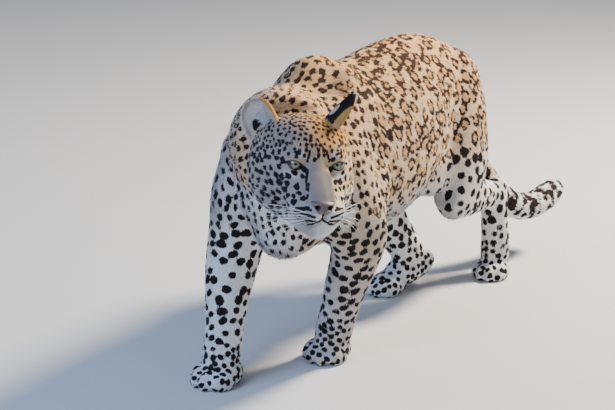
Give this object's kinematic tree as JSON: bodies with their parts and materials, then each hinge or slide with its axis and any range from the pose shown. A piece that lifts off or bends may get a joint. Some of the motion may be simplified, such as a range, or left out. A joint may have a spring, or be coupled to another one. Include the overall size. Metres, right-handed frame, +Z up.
{
  "type": "leopard",
  "caption": "Life-size standing leopard in a slow walk, head turned to its left, tail low, as one still model.",
  "frame": {"origin": "middle of the animal's bounding box, on the ground under its soles", "axes": "+Z up; the body runs along Y with the head end towards -Y; the animal's left side is +X"},
  "size_m": [0.4542, 1.4958, 0.6838],
  "materials": {
    "coat": "short fur",
    "eye": "wet gloss"
  },
  "bodies": {
    "root": {"head": "coat", "ear_left": "coat", "ear_right": "coat", "eye_left": "eye", "eye_right": "eye", "neck": "coat", "torso": "coat", "foreleg_left": "coat", "foreleg_right": "coat", "hindleg_left": "coat", "hindleg_right": "coat", "tail_1": "coat", "tail_2": "coat", "tail_3": "coat"}
  },
  "joints": []
}
